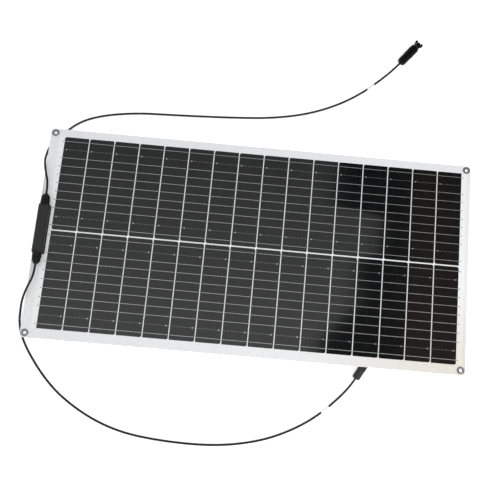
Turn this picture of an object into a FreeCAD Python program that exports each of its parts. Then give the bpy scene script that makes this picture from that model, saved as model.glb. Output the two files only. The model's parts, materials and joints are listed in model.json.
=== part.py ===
"""Flexible solar sheet: a laminated panel of quarter-cut wafers with a slim junction box and two leads.

Frame: the origin is under the centre of the panel's eyelet pattern, on the surface that the leads lie on.
+X runs along the panel away from the junction box, +Y towards lead A's side and +Z out of the cell side.
"""
import FreeCAD, Part
import Sketcher
import math
import os

DIMENSIONS = [
    ("sheet_length", 800.0),
    ("sheet_width", 400.0),
    ("corner_radius", 6.0),
    ("stand_height", 12.0),
    ("back_thick", 1.3),
    ("core_thick", 0.8),
    ("film_thick", 0.2),
    ("hinge_slot", 0.8),
    ("section_columns", 4),
    ("section_count", 4),
    ("cell_width", 45.5),
    ("cell_height", 182.0),
    ("cell_thick", 0.2),
    ("column_gap", 1.8),
    ("row_gap", 2.6),
    ("field_shift_x", 5.0),
    ("field_shift_y", 1.5),
    ("line_pitch", 16.5),
    ("ribbon_width", 0.9),
    ("ribbon_thick", 0.15),
    ("ribbon_cover", 0.2),
    ("ribbon_run_out", 6.0),
    ("busbar_width", 4.0),
    ("busbar_inset", 4.5),
    ("busbar_margin", 4.0),
    ("output_width", 5.0),
    ("output_offset", 4.0),
    ("output_fold", 5.0),
    ("slot_width", 1.4),
    ("slot_offset", 3.4),
    ("slot_half", 3.0),
    ("eyelet_inset", 8.5),
    ("eyelet_hole_radius", 3.0),
    ("eyelet_barrel_radius", 3.5),
    ("sheet_hole_radius", 3.6),
    ("eyelet_flange_radius", 6.8),
    ("eyelet_flange_rise", 1.2),
    ("washer_thick", 0.5),
    ("box_centre_x", -389.0),
    ("box_width", 22.0),
    ("box_length", 92.0),
    ("pad_thick", 0.4),
    ("base_floor", 1.8),
    ("base_rim_rise", 3.5),
    ("end_wall", 3.6),
    ("end_block_rise", 11.2),
    ("lid_wall", 1.6),
    ("lid_gap", 0.4),
    ("lid_rise", 11.8),
    ("lid_chamfer", 2.2),
    ("lid_notch", 3.2),
    ("gasket_thick", 0.8),
    ("gland_axis_rise", 11.2),
    ("gland_flange_radius", 8.5),
    ("gland_thread_radius", 5.5),
    ("gland_length", 20.5),
    ("nut_clearance", 0.3),
    ("gland_shank", 10.0),
    ("gland_thread_end", 16.0),
    ("gland_seat", 4.0),
    ("gland_bore_radius", 4.05),
    ("gland_seal_radius", 4.0),
    ("lead_radius", 2.0),
    ("lead_hole_radius", 2.4),
    ("core_radius", 1.2),
    ("marker_radius", 2.3),
    ("marker_length", 17.0),
    ("connector_length", 59.0),
    ("cap_nut_length", 17.0),
    ("cap_nut_bore_radius", 5.0),
    ("cap_nut_floor", 4.0),
    ("collar_start", 7.0),
    ("collar_radius", 4.7),
    ("seal_end", 13.0),
    ("seal_radius", 3.6),
    ("seal_bore_radius", 3.7),
    ("contact_radius", 1.4),
    ("contact_start", 18.0),
    ("contact_bore_radius", 1.7),
    ("plug_radius", 8.2),
    ("plug_taper_start", 44.0),
    ("plug_shoulder", 47.5),
    ("plug_neck_radius", 5.7),
    ("plug_nose_radius", 3.0),
    ("latch_inner", 4.0),
    ("latch_outer", 5.7),
    ("latch_tip", 8.1),
    ("latch_flare", 3.3),
    ("latch_height", 6.0),
    ("socket_radius", 7.3),
    ("socket_flat", 4.3),
    ("socket_mouth_radius", 3.3),
    ("socket_mouth_depth", 14.0),
    ("window_start", 10.0),
    ("window_end", 4.0),
    ("window_floor", 4.2),
    ("window_half", 2.6),
]

# Control points of each lead, from its gland's outer face to its connector's rear face.
LEAD_A_ROUTE = [
    (-389.0, 66.5, 23.2),
    (-389.0, 88.0, 23.2),
    (-396.6, 109.5, 23.4),
    (-403.2, 132.6, 16.5),
    (-404.5, 150.5, 6.0),
    (-401.6, 168.4, 2.4),
    (-381.2, 193.9, 2.4),
    (-353.0, 222.4, 2.4),
    (-310.7, 240.1, 2.4),
    (-247.0, 251.4, 2.4),
    (-182.3, 254.0, 2.4),
    (-113.2, 257.2, 2.4),
    (-45.4, 261.5, 2.4),
    (12.5, 267.0, 2.4),
    (77.4, 281.0, 2.4),
    (134.7, 304.9, 2.4),
    (181.3, 334.7, 2.4),
    (219.3, 368.7, 2.4),
    (244.7, 393.0, 8.4),
    (255.8, 407.2, 8.4),
]
LEAD_B_ROUTE = [
    (-389.0, -66.5, 23.2),
    (-389.0, -88.0, 23.2),
    (-397.5, -111.0, 23.4),
    (-404.8, -133.5, 16.5),
    (-407.0, -152.0, 6.0),
    (-406.8, -172.0, 2.4),
    (-398.0, -198.0, 2.4),
    (-380.0, -227.2, 2.4),
    (-349.0, -265.4, 2.4),
    (-313.6, -297.6, 2.4),
    (-260.8, -329.0, 2.4),
    (-204.8, -349.2, 2.4),
    (-142.0, -357.8, 2.4),
    (-68.3, -360.4, 2.4),
    (-10.7, -356.1, 2.4),
    (48.4, -342.7, 2.4),
    (97.0, -321.3, 2.4),
    (136.3, -296.0, 2.4),
    (170.0, -265.0, 2.4),
    (194.7, -236.8, 7.4),
    (203.6, -221.2, 7.4),
]
MARKER_RUN_A = 16
MARKER_RUN_B = 17

doc = FreeCAD.newDocument("flexible_solar_sheet")
sheet = doc.addObject("Spreadsheet::Sheet", "dims")
for row, (alias, number) in enumerate(DIMENSIONS, start=1):
    sheet.set(f"A{row}", alias)
    sheet.set(f"B{row}", str(number))
    sheet.setAlias(f"B{row}", alias)
doc.recompute()

NODES = []


def size(alias):
    """The number that a cell of the sheet holds."""
    return float(getattr(sheet, alias))


def node(item, label):
    """Lists an object as one of the parts to write, under its label."""
    item.Label = label
    NODES.append(item)
    return item


def bind(item, **expressions):
    """Binds properties to expressions over the sheet. An underscore in a property's name stands for a dot."""
    for name, expression in expressions.items():
        item.setExpression(name.replace("_", "."), expression)
    return item


def at(item, x="0", y="0", z="0"):
    """Binds an object's position to three expressions."""
    return bind(item, Placement_Base_x=x, Placement_Base_y=y, Placement_Base_z=z)


def block(name, span_x, span_y, span_z):
    """A box between three pairs of expressions."""
    item = doc.addObject("Part::Box", name)
    spans = (span_x, span_y, span_z)
    lengths = [f"({high}) - ({low})" for low, high in spans]
    bind(item, Length=lengths[0], Width=lengths[1], Height=lengths[2])
    return at(item, *(low for low, _ in spans))


def group(name, members):
    """Separate solids in one object."""
    item = doc.addObject("Part::Compound", name)
    item.Links = members
    return item


def cut(name, base, tools):
    """The base with the tools taken out of it."""
    item = doc.addObject("Part::Cut", name)
    item.Base = base
    item.Tool = tools[0] if len(tools) == 1 else group(name + "_tools", tools)
    return item


def pin_vertex(sketch, geometry, vertex, tag, x, y):
    """Fixes a sketch vertex at two expressions over the sheet's cells."""
    for direction, axis, expression in (("X", -2, x), ("Y", -1, y)):
        if expression == "0":
            sketch.addConstraint(Sketcher.Constraint("PointOnObject", geometry, vertex, axis))
            continue
        start = sketch.getPoint(geometry, vertex)
        value = start.x if direction == "X" else start.y
        index = sketch.addConstraint(
            Sketcher.Constraint("Distance" + direction, -1, 1, geometry, vertex, value)
        )
        sketch.renameConstraint(index, tag + direction.lower())
        sketch.setExpression(f"Constraints.{tag}{direction.lower()}", expression)


def evaluate(expression):
    """The number that an expression over the sheet's cells gives."""
    return float(sheet.evalExpression(expression))


def new_sketch(body, role):
    """A sketch on one of a body's own origin planes."""
    sketch = body.newObject("Sketcher::SketchObject", body.Name + "_sketch")
    plane = next(p for p in body.Origin.OriginFeatures if p.Role == role)
    sketch.AttachmentSupport = (plane, [""])
    sketch.MapMode = "FlatFace"
    return sketch


def outline(sketch, points):
    """A closed polygon whose corners are pairs of expressions."""
    first = sketch.GeometryCount
    corners = [FreeCAD.Vector(evaluate(x), evaluate(y), 0) for x, y in points]
    for start, end in zip(corners, corners[1:] + corners[:1]):
        sketch.addGeometry(Part.LineSegment(start, end))
    count = len(points)
    for k in range(count):
        following = first + (k + 1) % count
        sketch.addConstraint(Sketcher.Constraint("Coincident", first + k, 2, following, 1))
    for k, (x, y) in enumerate(points):
        pin_vertex(sketch, first + k, 1, f"p{first + k}", x, y)


def circle(sketch, x, y, radius):
    """A circle whose centre and radius are expressions."""
    centre = FreeCAD.Vector(evaluate(x), evaluate(y), 0)
    index = sketch.addGeometry(
        Part.Circle(centre, FreeCAD.Vector(0, 0, 1), evaluate(radius))
    )
    pin_vertex(sketch, index, 3, f"c{index}", x, y)
    constraint = sketch.addConstraint(Sketcher.Constraint("Radius", index, evaluate(radius)))
    sketch.renameConstraint(constraint, f"r{index}")
    sketch.setExpression(f"Constraints.r{index}", radius)


def padded(name, role, points, length, circles=(), inner=()):
    """A body: one outline, with holes, padded along its plane's normal."""
    body = doc.addObject("PartDesign::Body", name)
    sketch = new_sketch(body, role)
    outline(sketch, points)
    for hole in inner:
        outline(sketch, hole)
    for hole in circles:
        circle(sketch, *hole)
    pad = body.newObject("PartDesign::Pad", name + "_pad")
    pad.Profile = sketch
    bind(pad, Length=length)
    return body


def turned(name, points):
    """A body turned about its own X axis. Each point is a distance along the axis and a radius."""
    body = doc.addObject("PartDesign::Body", name)
    sketch = new_sketch(body, "XY_Plane")
    outline(sketch, points)
    revolution = body.newObject("PartDesign::Revolution", name + "_turn")
    revolution.Profile = sketch
    revolution.ReferenceAxis = (sketch, ["H_Axis"])
    revolution.Angle = 360
    return body


def rectangle(low_x, high_x, low_y, high_y):
    return [(low_x, low_y), (high_x, low_y), (high_x, high_y), (low_x, high_y)]


def round_edges(body, radius, chosen):
    """Fillets a body's edges whose middle the chosen function accepts."""
    doc.recompute()
    tip = body.Tip
    names = [
        f"Edge{k}"
        for k, edge in enumerate(tip.Shape.Edges, start=1)
        if chosen(edge.CenterOfMass, edge)
    ]
    fillet = body.newObject("PartDesign::Fillet", body.Name + "_rounds")
    fillet.Base = (tip, names)
    bind(fillet, Radius=radius)
    return body


def is_upright(edge):
    box = edge.BoundBox
    return box.ZLength > max(box.XLength, box.YLength)


# ---------------------------------------------------------------- laminate

PITCH = "(dims.cell_width + dims.column_gap)"
FIELD_LEFT = (
    f"(dims.field_shift_x - dims.section_count * dims.section_columns * {PITCH} / 2"
    " + dims.column_gap / 2)"
)
SHEET_LOW = "dims.stand_height"
CORE_LOW = f"({SHEET_LOW} + dims.back_thick)"
CORE_HIGH = f"({CORE_LOW} + dims.core_thick)"
SHEET_TOP = f"({CORE_HIGH} + dims.film_thick)"
UNDER_RIBBON = f"({CORE_LOW} + dims.ribbon_cover)"
CELL_LOW = f"({UNDER_RIBBON} + dims.ribbon_thick)"
CELL_HIGH = f"({CELL_LOW} + dims.cell_thick)"
OVER_RIBBON = f"({CELL_HIGH} + dims.ribbon_thick)"
EYELET_X = "(dims.sheet_length / 2 - dims.eyelet_inset)"
EYELET_Y = "(dims.sheet_width / 2 - dims.eyelet_inset)"


def hinge_line(number):
    """Where the laminate flexes: the gap after each group of columns. 0 and the last are the ends."""
    if number == 0:
        return "(0 - dims.sheet_length / 2)"
    if number == int(size("section_count")):
        return "(dims.sheet_length / 2)"
    return f"({FIELD_LEFT} + {number} * dims.section_columns * {PITCH} - dims.column_gap / 2)"


def section_span(section):
    """The two ends of a section, half a slot short of each flex line."""
    last = int(size("section_count"))
    low = hinge_line(section - 1) + ("" if section == 1 else " + dims.hinge_slot / 2")
    high = hinge_line(section) + ("" if section == last else " - dims.hinge_slot / 2")
    return low, high


def section_slab(name, section, low, thickness):
    """One layer of one section, with its eyelet holes and its outer corners rounded."""
    left, right = section_span(section)
    half = "dims.sheet_width / 2"
    holes = []
    ends = {1: f"(0 - {EYELET_X})", int(size("section_count")): EYELET_X}
    if section in ends:
        for y in (EYELET_Y, f"(0 - {EYELET_Y})"):
            holes.append((ends[section], y, "dims.sheet_hole_radius"))
    body = padded(
        name,
        "XY_Plane",
        rectangle(left, right, f"0 - {half}", half),
        thickness,
        circles=holes,
    )
    if section in ends:
        limit = size("sheet_length") / 2 - 1
        round_edges(
            body,
            "dims.corner_radius",
            lambda middle, edge: abs(middle.x) > limit and is_upright(edge),
        )
    return at(body, z=low)


def column_left(column):
    return f"({FIELD_LEFT} + {column} * {PITCH})"


def row_low(row):
    """The lower edge of a row of cells: row 0 is on the -Y side, row 1 on the +Y side."""
    if row == 0:
        return "(dims.field_shift_y - dims.row_gap / 2 - dims.cell_height)"
    return "(dims.field_shift_y + dims.row_gap / 2)"


def section_cells(section):
    """The wafers of one section, as separate solids."""
    wafers = []
    per_section = int(size("section_columns"))
    for column in range((section - 1) * per_section, section * per_section):
        for row in (0, 1):
            left, low = column_left(column), row_low(row)
            wafers.append(
                block(
                    f"wafer_{column}_{row}",
                    (left, f"{left} + dims.cell_width"),
                    (low, f"{low} + dims.cell_height"),
                    (CELL_LOW, CELL_HIGH),
                )
            )
    return node(group(f"cells_{section}", wafers), f"cells_{section}")


SOLDERED_LINES = (-5, -3, -2, -1, 0, 1, 2, 3, 5)


def line_height(row, line):
    """The Y of one of a row's soldered lines."""
    return (
        evaluate(row_low(row))
        + size("cell_height") / 2
        + line * size("line_pitch")
        - size("ribbon_width") / 2
    )


def ribbon_profile(start, end):
    """A flat ribbon seen from the side: over one wafer, down through the gap and under the next.

    start spans its upper run and end its lower one; either may be None, which leaves that half out.
    """
    top, bottom = evaluate(OVER_RIBBON), evaluate(UNDER_RIBBON)
    upper, lower = evaluate(CELL_HIGH), evaluate(CELL_LOW)
    if end is None:
        return [(start[0], upper), (start[1], upper), (start[1], top), (start[0], top)]
    if start is None:
        return [(end[0], bottom), (end[1], bottom), (end[1], lower), (end[0], lower)]
    return [
        (start[0], upper),
        (start[1], upper),
        (end[0], bottom),
        (end[1], bottom),
        (end[1], lower),
        (end[0], lower),
        (start[1], top),
        (start[0], top),
    ]


def section_ribbons(section):
    """The soldered ribbons of one section. They join each wafer's face to the next one's back."""
    per_section = int(size("section_columns"))
    first = (section - 1) * per_section
    left_end, right_end = (evaluate(x) for x in section_span(section))
    pitch, width = evaluate(PITCH), size("cell_width")
    field_left = evaluate(FIELD_LEFT)
    tail = size("ribbon_run_out")
    clear, overlap = 0.2, 1.0
    solids = []
    for k in range(per_section + 1):
        here = field_left + (first + k) * pitch
        above = (here - pitch + overlap, here - pitch + width + clear)
        below = (here - clear, here + width - overlap)
        if k == 0:
            above = None
            below = (here - tail if section == 1 else left_end, below[1])
        elif k == per_section:
            below = None
            is_last = section == int(size("section_count"))
            above = (above[0], above[1] - clear + tail if is_last else right_end)
        profile = ribbon_profile(above, below)
        for row in (0, 1):
            for line in SOLDERED_LINES:
                y = line_height(row, line)
                points = [FreeCAD.Vector(x, y, z) for x, z in profile]
                face = Part.Face(Part.makePolygon(points + points[:1]))
                solids.append(face.extrude(FreeCAD.Vector(0, size("ribbon_width"), 0)))
    item = doc.addObject("Part::Feature", f"ribbons_{section}")
    item.Shape = Part.makeCompound(solids)
    item.Placement = FreeCAD.Placement()
    return node(item, f"ribbons_{section}")


def busbar(name, left, rows, low):
    """A flat strip under or over the run-out of the ribbons, beside one or both rows."""
    bottom = f"{row_low(rows[0])} + dims.busbar_margin"
    top = f"{row_low(rows[-1])} + dims.cell_height - dims.busbar_margin"
    return block(
        name,
        (left, f"{left} + dims.busbar_width"),
        (bottom, top),
        (low, f"{low} + dims.ribbon_thick"),
    )


def left_busbars():
    """One busbar for each row at the junction box's end, on top of the ribbons' run-out."""
    left = f"({FIELD_LEFT} - dims.busbar_inset - dims.busbar_width / 2)"
    bars = [busbar(f"end_bar_{row}", left, (row,), CELL_LOW) for row in (0, 1)]
    return node(group("end_busbars_left", bars), "end_busbars_left")


def right_busbar():
    """The busbar that joins the two rows at the far end, under the ribbons' run-out."""
    count = "dims.section_count * dims.section_columns"
    edge = f"({FIELD_LEFT} + {count} * {PITCH} - dims.column_gap)"
    left = f"({edge} + dims.busbar_inset - dims.busbar_width / 2)"
    low = f"({CELL_HIGH} - dims.ribbon_thick)"
    return node(busbar("end_bar_right", left, (0, 1), low), "end_busbar_right")


TERMINAL_ROWS = (-28, 28)


def output_ribbons():
    """Two flat ribbons that rise from the end busbars into the junction box and fold over its terminals."""
    low, high = evaluate(CELL_HIGH) - size("ribbon_thick"), evaluate(TERMINAL_TOP)
    thick = size("ribbon_thick")
    outer = size("box_centre_x") + size("output_offset")
    fold = outer - size("output_fold")
    width = size("output_width")
    inner = evaluate(FIELD_LEFT) - size("busbar_inset") - size("busbar_width") / 2
    profile = [
        (inner, low),
        (inner, low + thick),
        (outer + thick, low + thick),
        (outer + thick, high + thick),
        (fold, high + thick),
        (fold, high),
        (outer, high),
        (outer, low),
    ]
    solids = []
    for middle in TERMINAL_ROWS:
        points = [FreeCAD.Vector(x, middle - width / 2, z) for x, z in profile]
        face = Part.Face(Part.makePolygon(points + points[:1]))
        solids.append(face.extrude(FreeCAD.Vector(0, width, 0)))
    item = doc.addObject("Part::Feature", "output_ribbons")
    item.Shape = Part.makeCompound(solids)
    item.Placement = FreeCAD.Placement()
    return node(item, "output_ribbons")


def ribbon_slots(name, low, high):
    """Room for the output ribbons where they rise through a layer."""
    left = "dims.box_centre_x + dims.slot_offset"
    slots = [
        block(
            f"{name}_slot_{k}",
            (left, f"{left} + dims.slot_width"),
            (f"{middle} - dims.slot_half", f"{middle} + dims.slot_half"),
            (low, high),
        )
        for k, middle in enumerate(TERMINAL_ROWS)
    ]
    return group(name, slots)


PAD_LOW = SHEET_TOP
BASE_LOW = f"({SHEET_TOP} + dims.pad_thick)"
BASE_FLOOR_TOP = f"({BASE_LOW} + dims.base_floor)"
TERMINAL_TOP = f"({BASE_FLOOR_TOP} + 1)"


def laminate():
    """The panel: white back sheet, clear encapsulant round the wafers and ribbons, and front film."""
    bars = {1: [left_busbars(), output_ribbons()], int(size("section_count")): [right_busbar()]}
    for section in range(1, int(size("section_count")) + 1):
        back = section_slab(f"back_sheet_{section}", section, SHEET_LOW, "dims.back_thick")
        node(back, f"back_sheet_{section}")
        wafers, ribbons = section_cells(section), section_ribbons(section)
        core = section_slab(f"core_{section}", section, CORE_LOW, "dims.core_thick")
        tools = [wafers, ribbons] + bars.get(section, [])
        node(cut(f"encapsulant_{section}", core, tools), f"encapsulant_{section}")
        film = section_slab(f"film_{section}", section, CORE_HIGH, "dims.film_thick")
        if section == 1:
            slots = ribbon_slots("film_slots", f"{CORE_HIGH} - 1", f"{SHEET_TOP} + 1")
            film = cut("film_cut", film, [slots])
        node(film, f"front_film_{section}")


# ---------------------------------------------------------------- eyelets


def eyelet_pair(side, sign):
    """The two metal eyelets at one end, rolled over a washer on the back."""
    inner, barrel, flange = (
        "dims.eyelet_hole_radius",
        "dims.eyelet_barrel_radius",
        "dims.eyelet_flange_radius",
    )
    crown = f"({SHEET_TOP} + dims.eyelet_flange_rise)"
    washer_low = f"{SHEET_LOW} - dims.washer_thick"
    washer_edge = f"{flange} - 0.3"
    profile = [
        (f"{washer_low} - 0.4", inner),
        (f"{washer_low} - 0.4", f"{barrel} + 1"),
        (washer_low, f"{barrel} + 1"),
        (washer_low, barrel),
        (SHEET_TOP, barrel),
        (SHEET_TOP, flange),
        (f"{SHEET_TOP} + 0.35", flange),
        (f"{crown} - 0.25", f"{flange} - 0.8"),
        (crown, f"{flange} - 2"),
        (f"{crown} - 0.2", f"{inner} + 0.5"),
        (f"{crown} - 0.6", inner),
    ]
    washer_profile = [
        (washer_low, "dims.sheet_hole_radius"),
        (washer_low, washer_edge),
        (SHEET_LOW, washer_edge),
        (SHEET_LOW, "dims.sheet_hole_radius"),
    ]
    rims, washers = [], []
    for k, y in enumerate((EYELET_Y, f"(0 - {EYELET_Y})")):
        rims.append(stand_up(turned(f"eyelet_{side}_{k}", profile), sign, y))
        washers.append(stand_up(turned(f"washer_{side}_{k}", washer_profile), sign, y))
    node(group(f"eyelets_{side}", rims), f"eyelets_{side}")
    node(group(f"eyelet_washers_{side}", washers), f"eyelet_washers_{side}")


def stand_up(body, sign, y):
    """Turns a body's own X axis to +Z and puts it at an eyelet."""
    body.Placement = FreeCAD.Placement(
        FreeCAD.Vector(), FreeCAD.Rotation(FreeCAD.Vector(0, 1, 0), -90)
    )
    return at(body, x=f"{sign} * {EYELET_X}", y=y)


# ---------------------------------------------------------------- junction box

HALF_BOX = "dims.box_length / 2"
GLAND_AXIS = f"({SHEET_LOW} + dims.gland_axis_rise)"
LID_LOW = f"({BASE_FLOOR_TOP} + dims.gasket_thick)"


def around_box(half_x, half_y):
    """A rectangle centred on the box, from two half sizes."""
    x = "dims.box_centre_x"
    return rectangle(f"{x} - ({half_x})", f"{x} + ({half_x})", f"0 - ({half_y})", half_y)


def box_spans(half_x, half_y):
    """The same rectangle as two pairs for a block."""
    x = "dims.box_centre_x"
    return (f"{x} - ({half_x})", f"{x} + ({half_x})"), (f"0 - ({half_y})", half_y)


def junction_box():
    """Adhesive pad, tray with end blocks and rim, gasket, lift-off lid, terminals and diodes."""
    pad_x, pad_y = box_spans("dims.box_width / 2 - 0.6", f"{HALF_BOX} - 1")
    pad = block("pad_block", pad_x, pad_y, (PAD_LOW, BASE_LOW))
    pad_slots = ribbon_slots("pad_slots", f"{PAD_LOW} - 1", f"{BASE_LOW} + 1")
    node(cut("box_adhesive", pad, [pad_slots]), "box_adhesive")

    base = at(
        padded(
            "base_tray",
            "XY_Plane",
            around_box("dims.box_width / 2", HALF_BOX),
            "dims.base_floor",
        ),
        z=BASE_LOW,
    )
    round_edges(base, "1.5", lambda middle, edge: is_upright(edge))
    rim_x = "dims.box_width / 2 - dims.lid_wall - dims.lid_gap - 1"
    rim_y = f"{HALF_BOX} - dims.end_wall - dims.lid_wall - dims.lid_gap - 1"
    rim = at(
        padded(
            "base_rim",
            "XY_Plane",
            around_box(rim_x, rim_y),
            "dims.base_rim_rise",
            inner=[around_box(f"{rim_x} - 1.2", f"{rim_y} - 1.2")],
        ),
        z=BASE_FLOOR_TOP,
    )
    solids = [base, rim]
    for k, sign in enumerate(("1", "-1")):
        inner = f"({HALF_BOX} - dims.end_wall)"
        ends = (f"{sign} * {inner}", f"{sign} * ({HALF_BOX})")
        wall_x, _ = box_spans("dims.box_width / 2 - 0.8", "1")
        wall = block(
            f"end_block_{k}",
            wall_x,
            ends if sign == "1" else ends[::-1],
            (f"{BASE_FLOOR_TOP}", f"{BASE_FLOOR_TOP} + dims.end_block_rise"),
        )
        rounded = doc.addObject("Part::Fillet", f"end_block_rounded_{k}")
        rounded.Base = wall
        doc.recompute()
        top = wall.Shape.BoundBox.ZMax
        rounded.Edges = [
            (number, 3.0, 3.0)
            for number, edge in enumerate(wall.Shape.Edges, start=1)
            if abs(edge.CenterOfMass.z - top) < 0.01
            and edge.BoundBox.YLength > edge.BoundBox.XLength
        ]
        solids.append(rounded)
    joined = doc.addObject("Part::MultiFuse", "base_joined")
    joined.Shapes = solids
    bore = doc.addObject("Part::Cylinder", "lead_bore")
    bind(bore, Radius="dims.lead_hole_radius", Height="dims.box_length + 2")
    bore.Placement = FreeCAD.Placement(
        FreeCAD.Vector(), FreeCAD.Rotation(FreeCAD.Vector(1, 0, 0), -90)
    )
    at(bore, x="dims.box_centre_x", y=f"0 - {HALF_BOX} - 1", z=GLAND_AXIS)
    floor_slots = ribbon_slots("floor_slots", f"{BASE_LOW} - 1", f"{BASE_FLOOR_TOP} + 0.5")
    node(cut("box_base", joined, [bore, floor_slots]), "box_base")

    lid_x = "dims.box_width / 2 - 1"
    lid_y = f"{HALF_BOX} - dims.end_wall - 0.3"
    seat = around_box(f"{lid_x} - 0.1", f"{lid_y} - 0.1")
    hollow = around_box(f"{lid_x} - dims.lid_wall + 0.1", f"{lid_y} - dims.lid_wall + 0.1")
    gasket = padded("gasket", "XY_Plane", seat, "dims.gasket_thick - 0.02", inner=[hollow])
    node(at(gasket, z=BASE_FLOOR_TOP), "box_gasket")
    node(box_lid(lid_x, lid_y), "box_lid")

    for name, rows, shape in (
        ("box_terminals", TERMINAL_ROWS, ("5", "7", "1")),
        ("bypass_diodes", (-9, 9), ("3", "5", "2.6")),
    ):
        pieces = []
        for k, middle in enumerate(rows):
            half_x, half_y, rise = shape
            x = "dims.box_centre_x - 1.8"
            pieces.append(
                block(
                    f"{name}_{k}",
                    (f"{x} - {half_x}", f"{x} + {half_x}"),
                    (f"{middle} - {half_y}", f"{middle} + {half_y}"),
                    (BASE_FLOOR_TOP, f"{BASE_FLOOR_TOP} + {rise}"),
                )
            )
        node(group(name, pieces), name)


def box_lid(half_x, half_y):
    """A hollow lid with bevelled long edges. It lifts straight off the tray, clear of both leads."""
    solid = padded("lid_solid", "XY_Plane", around_box(half_x, half_y), "dims.lid_rise")
    doc.recompute()
    tip = solid.Tip
    top = tip.Shape.BoundBox.ZMax
    long_edges = [
        f"Edge{k}"
        for k, edge in enumerate(tip.Shape.Edges, start=1)
        if abs(edge.CenterOfMass.z - top) < 0.01
        and edge.BoundBox.YLength > edge.BoundBox.XLength
    ]
    bevel = solid.newObject("PartDesign::Chamfer", "lid_bevel")
    bevel.Base = (tip, long_edges)
    bind(bevel, Size="dims.lid_chamfer")
    pocket_sketch = new_sketch(solid, "XY_Plane")
    wall = "dims.lid_wall"
    outline(pocket_sketch, around_box(f"{half_x} - {wall}", f"{half_y} - {wall}"))
    pocket = solid.newObject("PartDesign::Pocket", "lid_hollow")
    pocket.Profile = pocket_sketch
    pocket.Reversed = True
    bind(pocket, Length="dims.lid_rise - dims.lid_wall - 1")
    at(solid, z=LID_LOW)
    notches = []
    for k, sign in enumerate(("1", "-1")):
        inner = f"{sign} * ({half_y} - {wall} - 1)"
        outer = f"{sign} * ({half_y} + 1)"
        notches.append(
            block(
                f"lid_notch_{k}",
                box_spans("dims.lid_notch", "1")[0],
                (inner, outer) if sign == "1" else (outer, inner),
                (f"{LID_LOW} - 1", f"{GLAND_AXIS} + dims.lid_notch"),
            )
        )
    return cut("lid_notched", solid, notches)


# ---------------------------------------------------------------- glands


def along(body, origin, heading):
    """Puts a body's own frame at a point, with its X axis turned to a heading in the XY plane."""
    body.Placement = FreeCAD.Placement(
        origin, FreeCAD.Rotation(FreeCAD.Vector(0, 0, 1), heading)
    )
    return body


def gland(letter, sign):
    """A gland: flanged body, rubber seal, screw nut and the length of lead that passes through them."""
    heading = 90 * sign
    origin = FreeCAD.Vector(
        size("box_centre_x"), sign * size("box_length") / 2, evaluate(GLAND_AXIS)
    )
    hole, lead, core = "dims.lead_hole_radius", "dims.lead_radius", "dims.core_radius"
    flange, thread = "dims.gland_flange_radius", "dims.gland_thread_radius"
    end, gap, seat = "dims.gland_length", "dims.nut_clearance", "dims.gland_seat"
    shank, thread_end = "dims.gland_shank", "dims.gland_thread_end"
    bore, rubber = "dims.gland_bore_radius", "dims.gland_seal_radius"
    parts = {
        "gland_body": [
            ("0", hole),
            ("0", flange),
            (f"{shank} - 0.8", flange),
            (shank, f"{flange} - 0.8"),
            (shank, thread),
            (thread_end, thread),
            (thread_end, bore),
            (seat, bore),
            (seat, hole),
        ],
        "gland_seal": [
            (seat, lead),
            (seat, rubber),
            (thread_end, rubber),
            (f"{thread_end} + 1.2", f"{rubber} - 0.6"),
            (f"{thread_end} + 1.2", lead),
        ],
        "gland_nut": [
            (f"{shank} + {gap}", f"{thread} + {gap}"),
            (f"{shank} + {gap}", f"{flange} - 0.7"),
            (f"{thread_end} - 0.8", f"{flange} - 0.7"),
            (f"{thread_end} - 0.2", f"{flange} - 1.4"),
            (end, f"{hole} + 1.7"),
            (end, hole),
            (f"{thread_end} + 1.6", hole),
            (f"{thread_end} + 1.6", f"{thread} + {gap}"),
        ],
        "inner_lead": [
            ("0 - 12", "0"),
            ("0 - 12", core),
            ("0 - 6", core),
            ("0 - 6", lead),
            (end, lead),
            (end, "0"),
        ],
    }
    for name, profile in parts.items():
        label = f"{name}_{letter}"
        node(along(turned(label, profile), origin, heading), label)


# ---------------------------------------------------------------- connectors


def route_end(route):
    """The rear of a connector and its heading: the route's last point and the direction of its last run."""
    before, last = (FreeCAD.Vector(*point) for point in route[-2:])
    run = last - before
    return last, math.degrees(math.atan2(run.y, run.x))


TIP = "dims.connector_length"
HOUSING_START = "(dims.cap_nut_length + 0.4)"


def connector_back(name, route, outer):
    """What both connectors share: cap nut, rubber seal and the lead's stripped end."""
    origin, heading = route_end(route)
    hole, lead, core = "dims.lead_hole_radius", "dims.lead_radius", "dims.core_radius"
    length, floor = "dims.cap_nut_length", "dims.cap_nut_floor"
    bore, seal = "dims.cap_nut_bore_radius", "dims.seal_radius"
    strip = "dims.seal_end + 0.8"
    parts = {
        "nut": [
            ("0", hole),
            ("0", f"{outer} - 1.8"),
            ("1.2", f"{outer} - 0.6"),
            ("3.5", outer),
            (f"{length} - 0.6", outer),
            (length, f"{outer} - 0.5"),
            (length, bore),
            (floor, bore),
            (floor, hole),
        ],
        "seal": [
            (f"{floor} + 0.6", lead),
            (f"{floor} + 0.6", seal),
            ("dims.seal_end", seal),
            ("dims.seal_end", lead),
        ],
        "lead_end": [
            ("0", "0"),
            ("0", lead),
            (strip, lead),
            (strip, core),
            ("dims.contact_start", core),
            ("dims.contact_start", "0"),
        ],
    }
    for part, profile in parts.items():
        label = f"{name}_{part}"
        node(along(turned(label, profile), origin, heading), label)


def housing_profile(outer, front):
    """A housing's section: collar inside the cap nut, outer wall, front, then the bores back again."""
    collar, seal_bore, pin_bore = (
        "dims.collar_radius",
        "dims.seal_bore_radius",
        "dims.contact_bore_radius",
    )
    return [
        ("dims.collar_start", seal_bore),
        ("dims.collar_start", collar),
        (HOUSING_START, collar),
        (HOUSING_START, outer),
        *front,
        ("dims.collar_start * 2", pin_bore),
        ("dims.collar_start * 2", seal_bore),
    ]


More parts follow.
